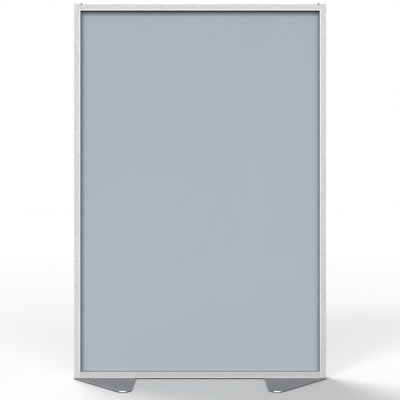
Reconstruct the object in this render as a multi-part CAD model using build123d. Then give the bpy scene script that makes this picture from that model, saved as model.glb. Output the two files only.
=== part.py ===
"""A free-standing partition screen.

Four lengths of one aluminium extrusion make the frame: two stiles of full height, with two rails
butted between them and held by screws that run through the stiles into ports in the rails.
A faced honeycomb panel stands on setting blocks in the pocket round the frame's inner side, with
rubber gaskets wedged in along both of its faces. Flat steel feet are bolted up into nut bars in
the bottom rail's groove.

Millimetres. X runs across the screen, Y from its front (minus) to its back, and Z up.
The origin is on the floor, under the middle of the screen.
"""

import os
from math import radians, tan

from build123d import *

os.makedirs("parts", exist_ok=True)

# The frame as a whole.
FRAME_WIDTH = 1220.0
FRAME_HEIGHT = 1810.0
FRAME_DEPTH = 60.0
FACE_WIDTH = 30.5

# The extrusion's section. The groove is on its outer side and the pocket on its inner side.
WALL = 1.8
OUTER_CORNER_RADIUS = 1.5
INNER_BEVEL = 2.0
GROOVE_MOUTH = 20.0
GROOVE_WIDTH = 26.0
GROOVE_DEPTH = 5.0
POCKET_DEPTH = 11.0

# The panel, how far its edges reach into the pocket, and the room for rubber beside each face.
CORE_THICKNESS = 11.0
FACING_THICKNESS = 1.0
PANEL_ENGAGEMENT = 9.0
GASKET_THICKNESS = 3.0

# The feet. The taper is the angle between a foot's slanted edge and the screen.
FOOT_LENGTH = 298.0
FOOT_THICKNESS = 6.0
FOOT_TAPER = 45.0
FOOT_TIP_RADIUS = 37.0
PAD_THICKNESS = 1.0

# The hairline left where a rail's cut end meets a stile.
BUTT_GAP = 0.2

# Places that follow from these.
PANEL_THICKNESS = CORE_THICKNESS + 2 * FACING_THICKNESS
FRAME_BOTTOM = PAD_THICKNESS + FOOT_THICKNESS
FRAME_TOP = FRAME_BOTTOM + FRAME_HEIGHT
FRAME_MIDDLE = FRAME_BOTTOM + FRAME_HEIGHT / 2
OPENING_WIDTH = FRAME_WIDTH - 2 * FACE_WIDTH
OPENING_HEIGHT = FRAME_HEIGHT - 2 * FACE_WIDTH

# Each side of the frame has its own axes: x is world Y, y runs inwards from the frame's outer
# side, and z runs along the member from its middle.
SIDES = {
    "left": Plane((-FRAME_WIDTH / 2, 0, FRAME_MIDDLE), x_dir=(0, 1, 0), z_dir=(0, 0, -1)),
    "right": Plane((FRAME_WIDTH / 2, 0, FRAME_MIDDLE), x_dir=(0, 1, 0), z_dir=(0, 0, 1)),
    "top": Plane((0, 0, FRAME_TOP), x_dir=(0, 1, 0), z_dir=(-1, 0, 0)),
    "bottom": Plane((0, 0, FRAME_BOTTOM), x_dir=(0, 1, 0), z_dir=(1, 0, 0)),
}


def save(name, *solids):
    """Write one node: a single solid, or a group of like ones."""
    shape = solids[0] if len(solids) == 1 else Compound(children=list(solids))
    export_step(shape, f"parts/{name}.step")


def on_side(side, shape):
    """Put a shape drawn in a side's own axes where that side is."""
    return SIDES[side].location * shape


def on_right(shape):
    """The right-hand twin of a shape that stands on the left."""
    return mirror(shape, about=Plane.YZ)


def patch(low_x, high_x, low_y, high_y):
    """A rectangle given by its limits."""
    middle = Pos((low_x + high_x) / 2, (low_y + high_y) / 2)
    return middle * Rectangle(high_x - low_x, high_y - low_y)


def front_and_back(shape):
    """A shape in a side's own axes, with its mirror image across the frame's depth."""
    return shape + mirror(shape, about=Plane.YZ)


def run(section, length):
    """A section run along its side, half of the length each way from the middle."""
    return extrude(section, amount=length / 2, both=True)


def turned(*profile):
    """A turned piece, from the radius and height of each corner of its half section."""
    outline = make_face(Polyline([(radius, 0, height) for radius, height in profile], close=True))
    return revolve(outline, axis=Axis.Z)


# Frame members. The rails' screw ports lie between the groove's floor and the pocket's floor.

PORT_SPACING = 10.0
PORT_WALL = 1.5
SCREW_DIAMETER = 4.8
SCREW_FIT = 0.05
SCREW_HOLE_CLEARANCE = 0.3

RAIL_LENGTH = OPENING_WIDTH - 2 * BUTT_GAP
GROOVE_FLOOR = WALL + GROOVE_DEPTH
POCKET_WIDTH = PANEL_THICKNESS + 2 * GASKET_THICKNESS
POCKET_FLOOR = FACE_WIDTH - POCKET_DEPTH
CHAMBER_LOW = GROOVE_FLOOR + WALL
CHAMBER_HIGH = POCKET_FLOOR - WALL
PORT_DEPTH = (CHAMBER_LOW + CHAMBER_HIGH) / 2
PORT_BORE_RADIUS = SCREW_DIAMETER / 2 + SCREW_FIT
PORT_EDGE = PORT_SPACING / 2 + PORT_BORE_RADIUS + PORT_WALL


def member_outline():
    """The outer shape of the extrusion, rounded on the frame's outer side, bevelled on its inner."""
    outline = patch(-FRAME_DEPTH / 2, FRAME_DEPTH / 2, 0, FACE_WIDTH)
    outline = fillet(outline.vertices().group_by(Axis.Y)[0], OUTER_CORNER_RADIUS)
    return chamfer(outline.vertices().group_by(Axis.Y)[-1], INNER_BEVEL)


def member_section():
    """The hollow extrusion that stiles and rails are cut from."""
    inside = FRAME_DEPTH / 2 - WALL
    chamber_end = FACE_WIDTH - WALL
    side_chamber = (
        patch(GROOVE_WIDTH / 2 + WALL, inside, WALL, chamber_end)
        + patch(PORT_EDGE, inside, CHAMBER_LOW, CHAMBER_HIGH)
        + patch(POCKET_WIDTH / 2 + WALL, inside, CHAMBER_LOW, chamber_end)
    )
    port = Pos(PORT_SPACING / 2, PORT_DEPTH) * Circle(PORT_BORE_RADIUS)
    groove = patch(-GROOVE_MOUTH / 2, GROOVE_MOUTH / 2, 0, WALL) + patch(
        -GROOVE_WIDTH / 2, GROOVE_WIDTH / 2, WALL, GROOVE_FLOOR
    )
    pocket = patch(-POCKET_WIDTH / 2, POCKET_WIDTH / 2, POCKET_FLOOR, FACE_WIDTH)
    return member_outline() - groove - pocket - front_and_back(side_chamber + port)


def screw_places():
    """Where screws cross a stile: across its depth and along it, at both of its ends."""
    reach = FRAME_HEIGHT / 2 - PORT_DEPTH
    half_spacing = PORT_SPACING / 2
    return [(across, along) for along in (-reach, reach) for across in (-half_spacing, half_spacing)]


def across_member(place, shape):
    """Turn a shape on the Z axis to run inwards across a member, from its outer side."""
    across, along = place
    return Pos(across, 0, along) * Rot(X=-90) * shape


def stile():
    """A stile, with clearance holes for the screws in its groove floor and pocket floor."""
    solid = run(member_section(), FRAME_HEIGHT)
    hole = Cylinder(
        SCREW_DIAMETER / 2 + SCREW_HOLE_CLEARANCE,
        FACE_WIDTH,
        align=(Align.CENTER, Align.CENTER, Align.MIN),
    )
    for place in screw_places():
        solid -= across_member(place, hole)
    return solid


def rail():
    """A rail, cut to fit between the stiles."""
    return run(member_section(), RAIL_LENGTH)


# Frame screws, with their heads on the groove's floor and their ends in the rails' ports.

SCREW_BITE = 25.0
SCREW_TIP = 3.0
SCREW_HEAD_DIAMETER = 9.0
SCREW_HEAD_HEIGHT = 2.6
SCREW_HEAD_CHAMFER = 0.8
SCREW_RECESS_WIDTH = 1.2
SCREW_RECESS_LENGTH = 5.0
SCREW_RECESS_DEPTH = 1.4


def frame_screw():
    """A pan-headed screw with a cross recess, pointing up the Z axis from its head's top."""
    head = SCREW_HEAD_DIAMETER / 2
    shank = SCREW_DIAMETER / 2
    seat = GROOVE_FLOOR
    top = seat - SCREW_HEAD_HEIGHT
    end = FACE_WIDTH + SCREW_BITE
    solid = turned(
        (0, top),
        (head - SCREW_HEAD_CHAMFER, top),
        (head, top + SCREW_HEAD_CHAMFER),
        (head, seat),
        (shank, seat),
        (shank, end - SCREW_TIP),
        (0, end),
    )
    slot = Pos(0, 0, top) * Box(
        SCREW_RECESS_LENGTH,
        SCREW_RECESS_WIDTH,
        SCREW_RECESS_DEPTH,
        align=(Align.CENTER, Align.CENTER, Align.MIN),
    )
    return solid - slot - Rot(Z=90) * slot


# Cover strips, slid into the outer grooves behind the lips.

STRIP_FIT = 0.15
STRIP_RECESS = 0.3
STRIP_BASE_THICKNESS = 1.2


def cover_strip(length):
    """A strip whose face fills the groove's mouth, on a wider base held behind the lips."""
    face_reach = GROOVE_MOUTH / 2 - STRIP_FIT
    base_reach = GROOVE_WIDTH / 2 - STRIP_FIT
    face = patch(-face_reach, face_reach, STRIP_RECESS, WALL)
    base = patch(-base_reach, base_reach, WALL, WALL + STRIP_BASE_THICKNESS)
    return run(face + base, length)


# Top caps on the hollow stiles, and the clips that hold the caps' tongues down on the top rail.

CAP_PLATE_THICKNESS = 1.2
CAP_RIB_WIDTH = 4.0
CAP_RIB_HEIGHT = 3.4
CAP_LEG_DEPTH = 12.0
CAP_LEG_FIT = 0.2
CAP_LEG_END_GAP = 1.5
CAP_TONGUE_LENGTH = 12.0
CAP_TONGUE_WIDTH = 18.0
CAP_EDGE_RADIUS = 0.4
CLIP_WIDTH = 4.8
CLIP_INSET = 3.5
CLIP_RISE = 5.5
CLIP_DROP = 2.6
CLIP_SIDE = 1.2
CLIP_CORNER_RADIUS = 2.0
CLIP_FIT = 0.1


def left_cap():
    """A cap: a thin plate with a rib on its outer edge, a tongue over the rail, and two legs."""
    plate_top = CAP_PLATE_THICKNESS
    # The stile's section seen from above, with its outer side at the frame's left end.
    above = Plane((-FRAME_WIDTH / 2, 0, FRAME_TOP), x_dir=(0, -1, 0), z_dir=(0, 0, 1)).location
    outline = member_outline()
    rib = outline & patch(-FRAME_DEPTH / 2, FRAME_DEPTH / 2, 0, CAP_RIB_WIDTH)
    tongue = patch(
        -CAP_TONGUE_WIDTH / 2,
        CAP_TONGUE_WIDTH / 2,
        FACE_WIDTH - WALL,
        FACE_WIDTH + CAP_TONGUE_LENGTH,
    )
    leg = patch(
        GROOVE_WIDTH / 2 + WALL + CAP_LEG_FIT,
        FRAME_DEPTH / 2 - WALL - CAP_LEG_FIT,
        WALL + CAP_LEG_END_GAP,
        FACE_WIDTH - WALL - CAP_LEG_END_GAP,
    )
    solid = (
        extrude(outline + tongue, amount=plate_top)
        + extrude(rib, amount=plate_top + CAP_RIB_HEIGHT)
        + extrude(front_and_back(leg), amount=-CAP_LEG_DEPTH)
    )
    return above * fillet(solid.edges().group_by(Axis.Z)[-1], CAP_EDGE_RADIUS)


def left_clip():
    """A moulded saddle over the top rail's end, recessed underneath for the cap's tongue."""
    reach = FRAME_DEPTH / 2 + CLIP_SIDE
    saddle = patch(-reach, reach, -CLIP_RISE, CLIP_DROP)
    saddle = fillet(saddle.vertices().group_by(Axis.Y)[0], CLIP_CORNER_RADIUS)
    tongue_reach = CAP_TONGUE_WIDTH / 2 + CLIP_FIT
    recess = patch(-tongue_reach, tongue_reach, -CAP_PLATE_THICKNESS - CLIP_FIT, 0)
    solid = run(saddle - member_outline() - recess, CLIP_WIDTH)
    # The top side's z runs from right to left, so a place on the left is a positive one.
    along = OPENING_WIDTH / 2 - CLIP_INSET - CLIP_WIDTH / 2
    return on_side("top", Pos(0, 0, along) * solid)


# The panel: a honeycomb core with boards round its edges and a facing sheet on each side.

EDGE_BOARD_WIDTH = 30.0

PANEL_WIDTH = OPENING_WIDTH + 2 * PANEL_ENGAGEMENT
PANEL_HEIGHT = OPENING_HEIGHT + 2 * PANEL_ENGAGEMENT
CORE_WIDTH = PANEL_WIDTH - 2 * EDGE_BOARD_WIDTH
CORE_HEIGHT = PANEL_HEIGHT - 2 * EDGE_BOARD_WIDTH


def panel_sheet(width, height, low_y, high_y):
    """A sheet in the middle of the frame, between two depths."""
    return Pos(0, (low_y + high_y) / 2, FRAME_MIDDLE) * Box(width, high_y - low_y, height)


def edge_board(side):
    """One board beside the core. Those at the sides run past those at the top and bottom."""
    outer = FACE_WIDTH - PANEL_ENGAGEMENT
    half = CORE_THICKNESS / 2
    section = patch(-half, half, outer, outer + EDGE_BOARD_WIDTH)
    length = PANEL_HEIGHT if side in ("left", "right") else CORE_WIDTH
    return on_side(side, run(section, length))


SETTING_BLOCK_LENGTH = 100.0
SETTING_BLOCK_SHARE = 0.25


def left_setting_block():
    """A block that fills the height between the bottom rail's pocket floor and the panel."""
    section = patch(
        -PANEL_THICKNESS / 2, PANEL_THICKNESS / 2, POCKET_FLOOR, FACE_WIDTH - PANEL_ENGAGEMENT
    )
    place = Pos(0, 0, -FRAME_WIDTH * SETTING_BLOCK_SHARE)
    return on_side("bottom", place * run(section, SETTING_BLOCK_LENGTH))


# Gaskets, mitred at the corners: a stem in the pocket, and a flap that lines the frame's inner
# side from the panel out to its bevel.

GASKET_STEM_DEPTH = 8.0
GASKET_FLAP_THICKNESS = 1.0
GASKET_FLAP_SETBACK = 3.0
GASKET_FLAP_RADIUS = 0.8


def gasket(opening_length, across):
    """One length of gasket. across is -1 at the frame's front and 1 at its back."""
    panel_face = PANEL_THICKNESS / 2
    low = FACE_WIDTH - GASKET_STEM_DEPTH
    high = FACE_WIDTH + GASKET_FLAP_THICKNESS
    stem = patch(panel_face, POCKET_WIDTH / 2, low, FACE_WIDTH)
    flap = patch(panel_face, FRAME_DEPTH / 2 - GASKET_FLAP_SETBACK, FACE_WIDTH, high)
    flap = fillet(flap.vertices().sort_by(Axis.X)[-2:].sort_by(Axis.Y)[-1], GASKET_FLAP_RADIUS)
    length = run(stem + flap, opening_length + 2 * GASKET_STEM_DEPTH)
    half = opening_length / 2
    mitre = Polyline(
        (0, low, -half - GASKET_STEM_DEPTH),
        (0, low, half + GASKET_STEM_DEPTH),
        (0, high, half - GASKET_FLAP_THICKNESS),
        (0, high, -half + GASKET_FLAP_THICKNESS),
        close=True,
    )
    length &= extrude(make_face(mitre), amount=FRAME_DEPTH, both=True)
    return length if across > 0 else mirror(length, about=Plane.YZ)


# Feet: one flat plate under each end of the frame, reaching out in front and behind.

FOOT_CORNER_RADIUS = 3.0
FOOT_TOP_EDGE_RADIUS = 2.0
FOOT_BOTTOM_EDGE_CHAMFER = 0.4
BOLT_DIAMETER = 8.0
BOLT_HEAD_DIAMETER = 16.0
BOLT_FIT = 0.05
BOLT_HOLE_CLEARANCE = 0.2
BOLT_COUNT = 3
BOLT_END_DISTANCE = 30.0
NUT_BAR_END_GAP = 10.0
NUT_BAR_THICKNESS = 4.5
NUT_BAR_SIDE_GAP = 1.0

FOOT_START = -FRAME_WIDTH / 2
FOOT_END = FOOT_START + FOOT_LENGTH
NUT_BAR_START = FOOT_START + FACE_WIDTH + NUT_BAR_END_GAP
NUT_BAR_END = FOOT_END - NUT_BAR_END_GAP
BOLT_HEAD_HEIGHT = (BOLT_HEAD_DIAMETER - BOLT_DIAMETER) / 2


def bolt_places():
    """The bolts' places along X, evenly spaced between the two ends of the left nut bar."""
    first = NUT_BAR_START + BOLT_END_DISTANCE
    spacing = (NUT_BAR_END - BOLT_END_DISTANCE - first) / (BOLT_COUNT - 1)
    return [first + spacing * number for number in range(BOLT_COUNT)]


def at_bolts(shape):
    """A copy of a shape at each bolt of the left foot, on its underside."""
    return [Pos(place, 0, PAD_THICKNESS) * shape for place in bolt_places()]


def left_foot():
    """A plate with two long tapers, rounded tips and countersunk holes from below."""
    taper_reach = FRAME_DEPTH / 2 + FOOT_LENGTH * tan(radians(FOOT_TAPER))
    outline = Polygon(
        (FOOT_START, -FRAME_DEPTH / 2),
        (FOOT_END, -taper_reach),
        (FOOT_END, taper_reach),
        (FOOT_START, FRAME_DEPTH / 2),
        align=None,
    )
    outline = fillet(outline.vertices().group_by(Axis.X)[-1], FOOT_TIP_RADIUS)
    outline = fillet(outline.vertices().group_by(Axis.X)[0], FOOT_CORNER_RADIUS)
    plate = extrude(Pos(0, 0, PAD_THICKNESS) * outline, amount=FOOT_THICKNESS)
    plate = fillet(plate.edges().group_by(Axis.Z)[-1], FOOT_TOP_EDGE_RADIUS)
    plate = chamfer(plate.edges().group_by(Axis.Z)[0], FOOT_BOTTOM_EDGE_CHAMFER)
    head = BOLT_HEAD_DIAMETER / 2 + BOLT_HOLE_CLEARANCE
    shank = BOLT_DIAMETER / 2 + BOLT_HOLE_CLEARANCE
    hole = turned((0, 0), (head, 0), (shank, head - shank), (shank, FOOT_THICKNESS), (0, FOOT_THICKNESS))
    for cut in at_bolts(hole):
        plate -= cut
    return plate


def left_nut_bar():
    """A tapped bar lying on the lips inside the bottom rail's groove."""
    reach = GROOVE_WIDTH / 2 - NUT_BAR_SIDE_GAP
    section = patch(-reach, reach, WALL, WALL + NUT_BAR_THICKNESS)
    middle = (NUT_BAR_START + NUT_BAR_END) / 2
    bar = on_side("bottom", Pos(0, 0, middle) * run(section, NUT_BAR_END - NUT_BAR_START))
    hole = Cylinder(
        BOLT_DIAMETER / 2 + BOLT_FIT,
        FRAME_BOTTOM + WALL + NUT_BAR_THICKNESS,
        align=(Align.CENTER, Align.CENTER, Align.MIN),
    )
    for cut in at_bolts(hole):
        bar -= cut
    return bar


BOLT_SOCKET_WIDTH = 5.0
BOLT_SOCKET_DEPTH = 2.5
BOLT_END_CHAMFER = 0.6


def foot_bolt():
    """A countersunk bolt with a hexagon socket, standing on its head's flat face."""
    shank = BOLT_DIAMETER / 2
    end = FOOT_THICKNESS + WALL + NUT_BAR_THICKNESS
    solid = turned(
        (0, 0),
        (BOLT_HEAD_DIAMETER / 2, 0),
        (shank, BOLT_HEAD_HEIGHT),
        (shank, end - BOLT_END_CHAMFER),
        (shank - BOLT_END_CHAMFER, end),
        (0, end),
    )
    socket = RegularPolygon(BOLT_SOCKET_WIDTH / 2, side_count=6, major_radius=False)
    return solid - extrude(socket, amount=BOLT_SOCKET_DEPTH)


PAD_RADIUS = 12.0
PAD_EDGE_CHAMFER = 0.3


def left_pads():
    """Round pads under both tips of the foot, and one under the frame's end."""
    tip_corner = FRAME_DEPTH / 2 + FOOT_LENGTH * tan(radians(FOOT_TAPER))
    tip_reach = tip_corner - FOOT_TIP_RADIUS / tan(radians(90 - FOOT_TAPER) / 2)
    tip_place = FOOT_END - FOOT_TIP_RADIUS
    places = [(tip_place, -tip_reach), (tip_place, tip_reach), (FOOT_START + FRAME_DEPTH / 2, 0)]
    pad = turned(
        (0, 0),
        (PAD_RADIUS - PAD_EDGE_CHAMFER, 0),
        (PAD_RADIUS, PAD_EDGE_CHAMFER),
        (PAD_RADIUS, PAD_THICKNESS),
        (0, PAD_THICKNESS),
    )
    return [Pos(x, y, 0) * pad for x, y in places]


def main():
    """Build every piece and write one file for each node."""
    for side in ("left", "right"):
        save(f"{side}_stile", on_side(side, stile()))
        save(f"{side}_stile_strip", on_side(side, cover_strip(FRAME_HEIGHT)))
        screws = [on_side(side, across_member(place, frame_screw())) for place in screw_places()]
        save(f"{side}_frame_screws", *screws)
    for side in ("top", "bottom"):
        save(f"{side}_rail", on_side(side, rail()))
    save("top_rail_strip", on_side("top", cover_strip(RAIL_LENGTH)))

    core_face = CORE_THICKNESS / 2
    panel_face = PANEL_THICKNESS / 2
    save("panel_core", panel_sheet(CORE_WIDTH, CORE_HEIGHT, -core_face, core_face))
    save("front_facing", panel_sheet(PANEL_WIDTH, PANEL_HEIGHT, -panel_face, -core_face))
    save("back_facing", panel_sheet(PANEL_WIDTH, PANEL_HEIGHT, core_face, panel_face))
    for side in SIDES:
        save(f"core_{side}_board", edge_board(side))
    openings = {
        "left": OPENING_HEIGHT,
        "right": OPENING_HEIGHT,
        "top": OPENING_WIDTH,
        "bottom": OPENING_WIDTH,
    }
    for face, across in (("front", -1), ("back", 1)):
        for side, opening_length in openings.items():
            save(f"{face}_{side}_gasket", on_side(side, gasket(opening_length, across)))

    left_pieces = {
        "top_cap": [left_cap()],
        "cap_clip": [left_clip()],
        "setting_block": [left_setting_block()],
        "foot": [left_foot()],
        "nut_bar": [left_nut_bar()],
        "foot_bolts": at_bolts(foot_bolt()),
        "foot_pads": left_pads(),
    }
    for name, solids in left_pieces.items():
        save(f"left_{name}", *solids)
        save(f"right_{name}", *[on_right(solid) for solid in solids])


main()
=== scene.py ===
"""The partition screen as it is photographed: its finishes, the floor, the light and the camera."""

from math import cos, pi, radians, sin

import bpy
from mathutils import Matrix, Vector

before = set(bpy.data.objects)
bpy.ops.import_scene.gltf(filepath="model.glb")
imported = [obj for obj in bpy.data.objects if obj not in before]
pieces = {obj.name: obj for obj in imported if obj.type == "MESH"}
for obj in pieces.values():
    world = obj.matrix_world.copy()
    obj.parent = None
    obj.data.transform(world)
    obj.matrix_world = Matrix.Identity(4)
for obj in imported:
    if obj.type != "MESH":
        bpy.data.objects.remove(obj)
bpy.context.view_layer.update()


# Stiles and rails. One hollow aluminium extrusion, etched and clear anodised to a mottled satin
# silver, then sawn to length. Painted light pales it low down, most of all on the left, a painted
# highlight lights its lip, dust and painted shade grey its tops, painted shade darkens the bottom rail.

class Signal:
    """A value that varies over a surface. Arithmetic on it adds Math nodes."""

    def __init__(self, nodes, socket):
        self.nodes = nodes
        self.socket = socket

    def maths(self, operation, *terms):
        return self.nodes.node("ShaderNodeMath", {"operation": operation}, enumerate(terms))

    def __add__(self, other):
        return self.maths("ADD", self, other)

    def __radd__(self, other):
        return self.maths("ADD", other, self)

    def __sub__(self, other):
        return self.maths("SUBTRACT", self, other)

    def __rsub__(self, other):
        return self.maths("SUBTRACT", other, self)

    def __mul__(self, other):
        return self.maths("MULTIPLY", self, other)

    def __rmul__(self, other):
        return self.maths("MULTIPLY", other, self)

    def __abs__(self):
        return self.maths("ABSOLUTE", self)

    def swing(self, amount):
        """A signal that lies about one half, made to lie about nothing and spread this much."""
        return (self - 0.5) * amount

    def above(self, low, high):
        """Nothing up to the low limit, rising smoothly to one at the high limit."""
        return self.nodes.node(
            "ShaderNodeMapRange",
            {"interpolation_type": "SMOOTHSTEP"},
            {"Value": self, "From Min": low, "From Max": high},
        )

    def below(self, low, high):
        """One up to the low limit, falling smoothly to nothing at the high limit."""
        return 1 - self.above(low, high)

    def between(self, rise, fall):
        """One between two edges. Each is the pair of limits that the rise or the fall runs over."""
        return self.above(*rise) * self.below(*fall)


class Nodes:
    """A tree of shader nodes, with one way to add a node of any kind."""

    def __init__(self, tree):
        self.tree = tree

    def node(self, kind, settings, sockets, output=0):
        """Add a node of any kind, set it, fill its sockets, and hand back one of its outputs."""
        made = self.tree.nodes.new(kind)
        for setting, value in settings.items():
            setattr(made, setting, value)
        for socket, value in dict(sockets).items():
            self.feed(made.inputs[socket], value)
        return Signal(self, made.outputs[output])

    def feed(self, socket, value):
        """Link a signal to a socket, or set the socket to a plain value."""
        if isinstance(value, Signal):
            self.tree.links.new(value.socket, socket)
        else:
            socket.default_value = value


class Finish(Nodes):
    """A material, built from nodes round one Principled shader. Lengths in it are millimetres."""

    millimetres_per_metre = 1000

    def __init__(self, name, **constants):
        self.material = bpy.data.materials.new(name)
        self.material.use_nodes = True
        super().__init__(self.material.node_tree)
        self.shader = self.tree.nodes["Principled BSDF"]
        self.show(**constants)
        self.place = self.node(
            "ShaderNodeVectorMath",
            {"operation": "SCALE"},
            {
                "Vector": self.node("ShaderNodeTexCoord", {}, {}, "Object"),
                "Scale": self.millimetres_per_metre,
            },
        )

    def show(self, **inputs):
        """Feed the shader's own sockets, whose names have underscores here in place of spaces."""
        for socket, value in inputs.items():
            self.feed(self.shader.inputs[socket.replace("_", " ")], value)

    def along(self, axis):
        """A coordinate of the surface."""
        return self.node("ShaderNodeSeparateXYZ", {}, {"Vector": self.place}, axis)

    def stretched(self, axis, squeeze):
        """The place, squeezed along one axis, which draws a pattern on it out along that axis."""
        factors = [squeeze if each == axis else 1 for each in "XYZ"]
        return self.node("ShaderNodeVectorMath", {"operation": "MULTIPLY"}, {0: self.place, 1: factors})

    def noise(self, size, detail, place=None):
        """Cloudy noise about one half, in blotches of about this size."""
        return self.node(
            "ShaderNodeTexNoise",
            {},
            {"Vector": place or self.place, "Scale": 1 / size, "Detail": detail},
            "Fac",
        )

    def cells(self, size, feature="F1", output="Distance"):
        """Cells of about this size."""
        return self.node(
            "ShaderNodeTexVoronoi",
            {"feature": feature},
            {"Vector": self.place, "Scale": 1 / size},
            output,
        )

    def colour(self, share, first, second):
        """The first colour where the share is nothing, going over to the second where it is one."""
        factor, first_colour, second_colour, mixed_colour = 0, 6, 7, 2
        ends = [end if isinstance(end, Signal) else (*end, 1.0) for end in (first, second)]
        return self.node(
            "ShaderNodeMix",
            {"data_type": "RGBA"},
            {factor: share, first_colour: ends[0], second_colour: ends[1]},
            mixed_colour,
        )

    def relief(self, height, depth):
        """Bumps of this depth, where the height goes from nothing to one."""
        metres = depth / self.millimetres_per_metre
        self.show(Normal=self.node("ShaderNodeBump", {}, {"Distance": metres, "Height": height}))

    def low_down(self):
        """One at the floor, falling smoothly to nothing just above the screen."""
        just_above_screen = 1900
        return self.along("Z").below(0, just_above_screen)

    def facing_up(self):
        """From minus one where the surface faces straight down to one where it faces straight up."""
        normal = self.node("ShaderNodeNewGeometry", {}, {}, "Normal")
        return self.node("ShaderNodeSeparateXYZ", {}, {"Vector": normal}, "Z")

    def show_dust_and_shade(self, colour, roughness):
        """Show a colour and a roughness, greyed where the surface faces up: a dusting and painted
        shade.
        """
        dust_and_shade_grey = (0.31, 0.31, 0.305)
        nearly_level = (0.4, 0.95)
        # Dust, and painted shade that tones down the upward faces, which the lamps light most.
        dust_and_shade = self.facing_up().above(*nearly_level) * (0.5 + self.noise(16, 3.0) * 0.6)
        self.show(Base_Color=self.colour(dust_and_shade, colour, dust_and_shade_grey), Roughness=roughness + dust_and_shade * 0.3)

    def put_on(self, *names):
        """Give these pieces of the CAD model this material."""
        for name in names:
            slots = pieces[name].data.materials
            slots.clear()
            slots.append(self.material)


def anodised(name, length):
    """Etched and anodised metal, with the faint lines that the die draws along its length."""
    dark_etch = (0.525, 0.525, 0.53)
    pale_etch = (0.745, 0.745, 0.74)
    low_light_amount = 0.13
    low_light_leftwards = 0.0002
    finish = Finish(name, Metallic=0.15)
    grain = finish.noise(6.5, 3.0)
    fine = finish.noise(2.2, 2.0)
    cloud = finish.noise(140, 2.0)
    lines = finish.noise(0.9, 2.0, finish.stretched(length, 0.01))
    # Painted light: paler towards the floor, more on the left, offsetting shade low down.
    painted_light_low = finish.low_down() * (low_light_amount - finish.along("X") * low_light_leftwards)
    tone = 0.37 + grain.swing(1.55) + fine.swing(1.6) + cloud.swing(0.3) + lines.swing(0.4)
    finish.etched = finish.colour(tone + painted_light_low, dark_etch, pale_etch)
    finish.dull = 0.6 + grain.swing(0.16) + cloud.swing(0.1) + lines.swing(0.12)
    finish.relief(grain * 0.4 + fine * 0.4 + lines * 0.4, 0.06)
    return finish


def show_painted_highlight(finish, share):
    """Show the etched surface with a painted highlight, and smoother, where the share is; greyed on
    top.
    """
    highlight_silver = (0.88, 0.88, 0.875)
    finish.show_dust_and_shade(finish.colour(share, finish.etched, highlight_silver), finish.dull - share * 0.12)


stile_lip = (583.5, 585.5)
opening_foot = (34, 38)
opening_head = (1786, 1790)
stile = anodised("anodised_stile", "Z")
beside_opening = stile.along("Z").between(opening_foot, opening_head)
# Painted highlight: the stile's lip beside the opening is lightened.
show_painted_highlight(stile, abs(stile.along("X")).below(*stile_lip) * (0.2 + beside_opening * 0.8))
stile.put_on("left_stile", "right_stile")

top_rail_lip = (1790.5, 1792.5)
bottom_rail_lip = (33, 35)
lowest_edge = (11, 12.5)
between_rails = (1000, 1001)
shade_reach = (38, 45)
shaded_metal = (0.44, 0.44, 0.44)
rail = anodised("anodised_rail", "X")
height = rail.along("Z")
# Painted shade: the bottom rail is darkened in patches near the floor.
low_painted_shade = height.below(*shade_reach) * (0.16 + rail.noise(60, 3.0) * 0.3)
rail.etched = rail.colour(low_painted_shade, rail.etched, shaded_metal)
top_lip = height.between(between_rails, top_rail_lip)
bottom_lip = height.between(bottom_rail_lip, between_rails)
# Painted highlight on the rails' lips, and on the bottom rail's lowest edge, lifting its shade.
show_painted_highlight(rail, top_lip + bottom_lip * 0.35 + height.below(*lowest_edge))
rail.put_on("top_rail", "bottom_rail")


# Frame screws, nut bars and foot bolts. Plain steel, zinc plated, with the faint spangle and the
# bluish cast of the plating. They are turned or sawn, then driven home out of sight.

dull_zinc = (0.5, 0.52, 0.56)
bright_zinc = (0.72, 0.73, 0.74)
zinc = Finish("zinc_plate", Metallic=1.0)
spangle = zinc.node("ShaderNodeSeparateColor", {}, {"Color": zinc.cells(2.5, output="Color")})
dulling = zinc.noise(6, 3.0)
zinc.show(
    Base_Color=zinc.colour(spangle * 0.6 + dulling * 0.4, dull_zinc, bright_zinc),
    Roughness=0.28 + spangle * 0.1 + dulling * 0.14,
)
zinc.relief(dulling, 0.03)
zinc.put_on("left_frame_screws", "right_frame_screws", "left_nut_bar", "right_nut_bar")
zinc.put_on("left_foot_bolts", "right_foot_bolts")


# Cover strips. Extruded grey plastic, slid along the outer grooves from their ends to hide the
# screws. Drawing leaves them with soft lines lengthwise, and handling with a patchy dullness.

def strip_plastic(name, length):
    """Grey plastic, with soft lines drawn along its length."""
    dark_grey = (0.46, 0.47, 0.48)
    pale_grey = (0.58, 0.585, 0.59)
    finish = Finish(name)
    streak = finish.noise(1.1, 2.0, finish.stretched(length, 0.008))
    patch = finish.noise(60, 3.0)
    speck = finish.noise(0.8, 1.0)
    drawn = finish.colour(streak * 0.4 + patch * 0.4 + speck * 0.2, dark_grey, pale_grey)
    finish.show_dust_and_shade(drawn, 0.4 + patch.swing(0.25) + streak.swing(0.1))
    finish.relief(streak * 0.7 + speck * 0.3, 0.03)
    return finish


strip_plastic("strip_upright", "Z").put_on("left_stile_strip", "right_stile_strip")
strip_plastic("strip_level", "X").put_on("top_rail_strip")


# Top caps. Pale grey nylon, moulded with a fine spark-eroded texture and pushed by their legs
# into the open tops of the stiles.

dark_nylon = (0.6, 0.6, 0.59)
pale_nylon = (0.72, 0.72, 0.71)
cap = Finish("cap_nylon")
pores = cap.cells(0.9)
haze = cap.noise(9, 3.0)
cap.show_dust_and_shade(cap.colour(haze * 0.7 + pores * 0.3, dark_nylon, pale_nylon), 0.45 + haze.swing(0.2))
cap.relief(pores, 0.05)
cap.put_on("left_top_cap", "right_top_cap")


# Cap clips. Small saddles, moulded in black nylon with the same fine texture as the caps. They
# snap over the top rail's ends and hold the caps' tongues.

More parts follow.
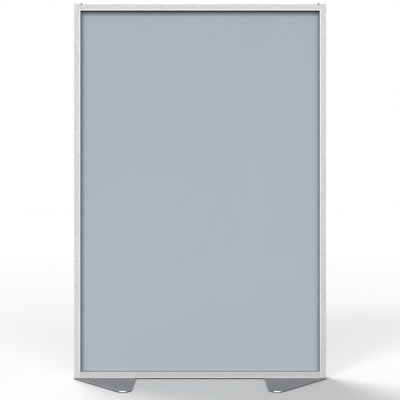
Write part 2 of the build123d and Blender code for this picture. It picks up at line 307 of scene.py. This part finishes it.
black_nylon = (0.014, 0.014, 0.015)
hazy_nylon = (0.03, 0.03, 0.032)
clip = Finish("clip_nylon")
clip_haze = clip.noise(7, 3.0)
clip.show(
    Base_Color=clip.colour(clip_haze, black_nylon, hazy_nylon),
    Roughness=0.42 + clip_haze.swing(0.25),
)
clip.relief(clip.cells(0.8), 0.05)
clip.put_on("left_cap_clip", "right_cap_clip")


# Panel core and its edge boards. Resin-dipped kraft paper honeycomb, with strips of softwood
# glued round it that take the pressure of the gaskets.

wall_kraft = (0.52, 0.39, 0.25)
hollow_shade_kraft = (0.34, 0.24, 0.14)
hollow_shade_starts = (0.04, 0.16)
wall_ends = (0.03, 0.14)
paper = Finish("kraft_honeycomb")
off_wall = paper.cells(12, "DISTANCE_TO_EDGE")
fibre = paper.noise(2.2, 4.0)
# Painted shade: the cells' hollows are darker than their walls on the flat core.
paper.show(
    Base_Color=paper.colour(
        off_wall.above(*hollow_shade_starts) * 0.7 + fibre * 0.3, wall_kraft, hollow_shade_kraft
    ),
    Roughness=0.8 + fibre.swing(0.2),
)
paper.relief(off_wall.below(*wall_ends) * 0.8 + fibre * 0.2, 0.4)
paper.put_on("panel_core")


def softwood(name, length):
    """Planed softwood, with its growth rings and pores drawn out along its length."""
    late_wood = (0.3, 0.18, 0.09)
    early_wood = (0.52, 0.37, 0.22)
    finish = Finish(name)
    warp = finish.noise(90, 2.0)
    rings = finish.noise(3.2, 3.0, finish.stretched(length, 0.03))
    wood_pores = finish.noise(0.6, 2.0, finish.stretched(length, 0.03))
    finish.show(
        Base_Color=finish.colour(rings * 0.6 + warp * 0.2 + wood_pores * 0.2, late_wood, early_wood),
        Roughness=0.62 + rings.swing(0.25),
    )
    finish.relief(rings * 0.6 + wood_pores * 0.4, 0.12)
    return finish


softwood("pine_upright", "Z").put_on("core_left_board", "core_right_board")
softwood("pine_level", "X").put_on("core_top_board", "core_bottom_board")


# Facings. Hard sheets covered with a matt blue-grey vinyl film, glued flat to both sides of the
# core. The film has a very fine leathery emboss and hardly any shine. Painted light makes it a
# little paler towards the floor.

deep_blue_grey = (0.379, 0.433, 0.481)
pale_blue_grey = (0.465, 0.531, 0.588)
vinyl = Finish("vinyl_film", Specular_IOR_Level=0.3)
emboss = vinyl.cells(1.3)
tooth = vinyl.noise(0.5, 2.0)
drift = vinyl.noise(420, 2.0)
weave = vinyl.noise(7, 2.0)
# Painted light: paler towards the floor, offsetting shade low down; the drift is the film's own tone.
painted_light_and_drift = vinyl.low_down() * 0.5 + drift * 0.25
grained = weave.swing(0.16) + emboss * 0.1 + tooth * 0.1
vinyl.show(
    Base_Color=vinyl.colour(painted_light_and_drift + grained + 0.02, deep_blue_grey, pale_blue_grey),
    Roughness=0.6 + drift.swing(0.12) + emboss.swing(0.1),
)
vinyl.relief(emboss * 0.6 + tooth * 0.4, 0.05)
vinyl.put_on("front_facing", "back_facing")


# Gaskets and setting blocks. Black extruded rubber, mitred at the corners and wedged in beside
# the panel once it stands on its blocks. It blooms grey in patches, but painted shade keeps it a
# deeper black where it faces down. Where it faces up, dust and painted light turn it pale blue-grey.

painted_shade_black = (0.008, 0.009, 0.01)
black = (0.018, 0.02, 0.022)
bloom_grey = (0.042, 0.046, 0.05)
dust_and_light_blue_grey = (0.54, 0.6, 0.66)
nearly_level = (0.5, 0.95)
nearly_downward = (-0.9, -0.3)
beside_panel = (13, 20)
rubber = Finish("glazing_rubber")
bloom = rubber.noise(35, 3.0)
nap = rubber.noise(0.9, 3.0)
close_in = abs(rubber.along("Y")).below(*beside_panel)
# Dust and painted light: upward faces, most of all beside the panel, turn a pale blue-grey.
dust_and_painted_light = rubber.facing_up().above(*nearly_level) * (0.2 + close_in * 0.7) * (0.8 + nap * 0.4)
# Painted shade: faces turned down are left a deeper black.
outside_painted_shade = rubber.facing_up().above(*nearly_downward)
bloomed = rubber.colour(outside_painted_shade, painted_shade_black, rubber.colour(bloom * 0.7 + nap * 0.3, black, bloom_grey))
rubber.show(
    Base_Color=rubber.colour(dust_and_painted_light, bloomed, dust_and_light_blue_grey),
    Roughness=0.62 + bloom.swing(0.25) + nap.swing(0.1) + dust_and_painted_light * 0.2,
)
rubber.relief(nap, 0.05)
for face in ("front", "back"):
    rubber.put_on(*[f"{face}_{side}_gasket" for side in ("left", "right", "top", "bottom")])
rubber.put_on("left_setting_block", "right_setting_block")


# Feet. Steel plates, laser cut, with rolled-over top edges, powder coated in a satin grey with
# a slight orange peel. A painted highlight lightens the rolled edge, and painted shade darkens the
# side below it and the corner by the frame. Tips worn to bright steel also give a painted highlight.

dark_coat = (0.179, 0.181, 0.191)
pale_coat = (0.236, 0.236, 0.249)
corner_shade_black = (0.04, 0.04, 0.042)
side_shade_coat = (0.035, 0.035, 0.037)
painted_highlight_coat = (0.36, 0.36, 0.37)
bright_steel_highlight = (0.95, 0.95, 0.95)
tip_middle_x = 349.0
tip_middle_y = 238.7
tip_width = (20, 31)
tip_front = (32.2, 33.6)
plate_top = (4.6, 5.2)
frame_corner = (33, 44)
side_from = (-0.5, -0.2)
side_to = (0.1, 0.45)
roll_from = (0.3, 0.5)
roll_to = (0.95, 0.995)
paint = Finish("powder_coat")
peel = paint.noise(2.6, 2.0)
speck = paint.noise(0.9, 1.0)
mottle = paint.noise(45, 3.0)
across = abs(abs(paint.along("X")) - tip_middle_x)
outwards = abs(paint.along("Y")) - tip_middle_y
# Worn to bright steel at the tips, shaped and placed to give a painted highlight there.
worn_and_highlight = across.below(*tip_width) * outwards.above(*tip_front) * paint.along("Z").above(*plate_top)
corner_painted_shade = abs(paint.along("Y")).below(*frame_corner)
upwards = paint.facing_up()
side_painted_shade = upwards.between(side_from, side_to)
rolled_edge_highlight = upwards.between(roll_from, roll_to)
coat = paint.colour(mottle * 0.6 + peel * 0.25 + speck * 0.15, dark_coat, pale_coat)
# Painted shade in the corner by the frame.
coat = paint.colour(corner_painted_shade * (0.45 + mottle * 0.3), coat, corner_shade_black)
# Painted shade on the side faces below the rolled edge.
coat = paint.colour(side_painted_shade * (0.6 + mottle * 0.4), coat, side_shade_coat)
# Painted highlight along the rolled top edge.
coat = paint.colour(rolled_edge_highlight * (0.5 + speck * 0.5), coat, painted_highlight_coat)
paint.show(
    Base_Color=paint.colour(worn_and_highlight, coat, bright_steel_highlight),
    Metallic=worn_and_highlight,
    Roughness=0.5 + mottle.swing(0.14) + peel.swing(0.08) - worn_and_highlight * 0.1,
)
paint.relief(peel * 0.8 + speck * 0.2, 0.08)
paint.put_on("left_foot", "right_foot")


# Foot pads. Thin round pads, punched from sheets of soft black rubber and glued under the plates
# to spare the floor. Floor dust clings to them.

clean_pad = (0.015, 0.015, 0.015)
dusty_pad = (0.06, 0.058, 0.055)
pad = Finish("pad_rubber")
floor_dust = pad.noise(5, 4.0)
pad.show(
    Base_Color=pad.colour(floor_dust, clean_pad, dusty_pad),
    Roughness=0.75 + floor_dust.swing(0.2),
)
pad.relief(floor_dust, 0.08)
pad.put_on("left_foot_pads", "right_foot_pads")


# Floor. A smooth matt studio floor that runs out of sight and keeps the screen's shadows. To
# the eye, and in reflections, it is paler than the light that it throws back on the screen, and
# it pales with the distance from the screen until it meets the white room.

def looked_at(nodes):
    """One where the eye, a reflection or a clear piece shows a surface, and nothing elsewhere."""
    camera_ray, glossy_ray, transmission_ray = [
        nodes.node("ShaderNodeLightPath", {}, {}, ray)
        for ray in ("Is Camera Ray", "Is Glossy Ray", "Is Transmission Ray")
    ]
    either = camera_ray.maths("MAXIMUM", camera_ray, glossy_ray)
    return either.maths("MAXIMUM", either, transmission_ray)


thrown_back = (0.22, 0.22, 0.22)
near_floor = (0.668, 0.668, 0.668)
far_floor = (0.71, 0.71, 0.71)
pales_over = (2500, 12000)
floor_reach = 60.0
floor_mesh = bpy.data.meshes.new("studio_floor")
corners = [(x * floor_reach, y * floor_reach, 0) for x, y in ((-1, -1), (1, -1), (1, 1), (-1, 1))]
floor_mesh.from_pydata(corners, [], [(0, 1, 2, 3)])
floor = bpy.data.objects.new("studio_floor", floor_mesh)
bpy.context.scene.collection.objects.link(floor)
floor_paint = Finish("floor_paint", Roughness=1.0, Specular_IOR_Level=0.0)
distance = floor_paint.node(
    "ShaderNodeVectorMath", {"operation": "LENGTH"}, {0: floor_paint.place}, "Value"
)
seen = floor_paint.colour(distance.above(*pales_over), near_floor, far_floor)
floor_paint.show(Base_Color=floor_paint.colour(looked_at(floor_paint), thrown_back, seen))
floor_mesh.materials.append(floor_paint.material)


# Light. A very large soft lamp low in front, a smaller one on the left and a weak one on the
# right, two soft ones behind on the left, one of them high, and a dim even room, which looks
# white to the eye and in reflections.

def sun(name, azimuth, elevation, level, spread):
    """A lamp this far round from straight in front, towards the right, and this far up.

    At a level of one it shows a white surface that faces it as white.
    """
    lamp = bpy.data.lights.new(name, "SUN")
    lamp.energy = level * pi
    lamp.angle = radians(spread)
    towards_lamp = Vector((
        sin(radians(azimuth)) * cos(radians(elevation)),
        -cos(radians(azimuth)) * cos(radians(elevation)),
        sin(radians(elevation)),
    ))
    holder = bpy.data.objects.new(name, lamp)
    holder.rotation_mode = "QUATERNION"
    holder.rotation_quaternion = towards_lamp.to_track_quat("Z", "Y")
    bpy.context.scene.collection.objects.link(holder)


sun("key_lamp", azimuth=-35, elevation=35, level=0.277, spread=15)
sun("front_lamp", azimuth=0, elevation=18, level=0.725, spread=90)
sun("right_lamp", azimuth=35, elevation=35, level=0.08, spread=30)
sun("back_lamp", azimuth=-140, elevation=45, level=0.803, spread=40)
sun("high_lamp", azimuth=-155, elevation=72, level=0.315, spread=50)

room_level = 0.1
shown_level = 1.0
white = (1.0, 1.0, 1.0, 1.0)
world = bpy.data.worlds.new("room")
bpy.context.scene.world = world
world.use_nodes = True
room = Nodes(world.node_tree)
even, shown = [
    room.node("ShaderNodeBackground", {}, {"Color": white, "Strength": level})
    for level in (room_level, shown_level)
]
surround = room.node("ShaderNodeMixShader", {}, {0: looked_at(room), 1: even, 2: shown})
room.feed(world.node_tree.nodes["World Output"].inputs["Surface"], surround)
bpy.context.scene.view_settings.view_transform = "Standard"


# Camera. Straight in front of the screen and level, a little under half the screen's height up,
# and far enough off for the screen to fill the height of the picture.

lens = bpy.data.cameras.new("camera")
lens.sensor_width = 36.0
lens.lens = 65.25
camera = bpy.data.objects.new("camera", lens)
camera.location = (-0.0003, -3.54, 0.869)
camera.rotation_euler = (radians(90), 0, 0)
bpy.context.scene.collection.objects.link(camera)
bpy.context.scene.camera = camera
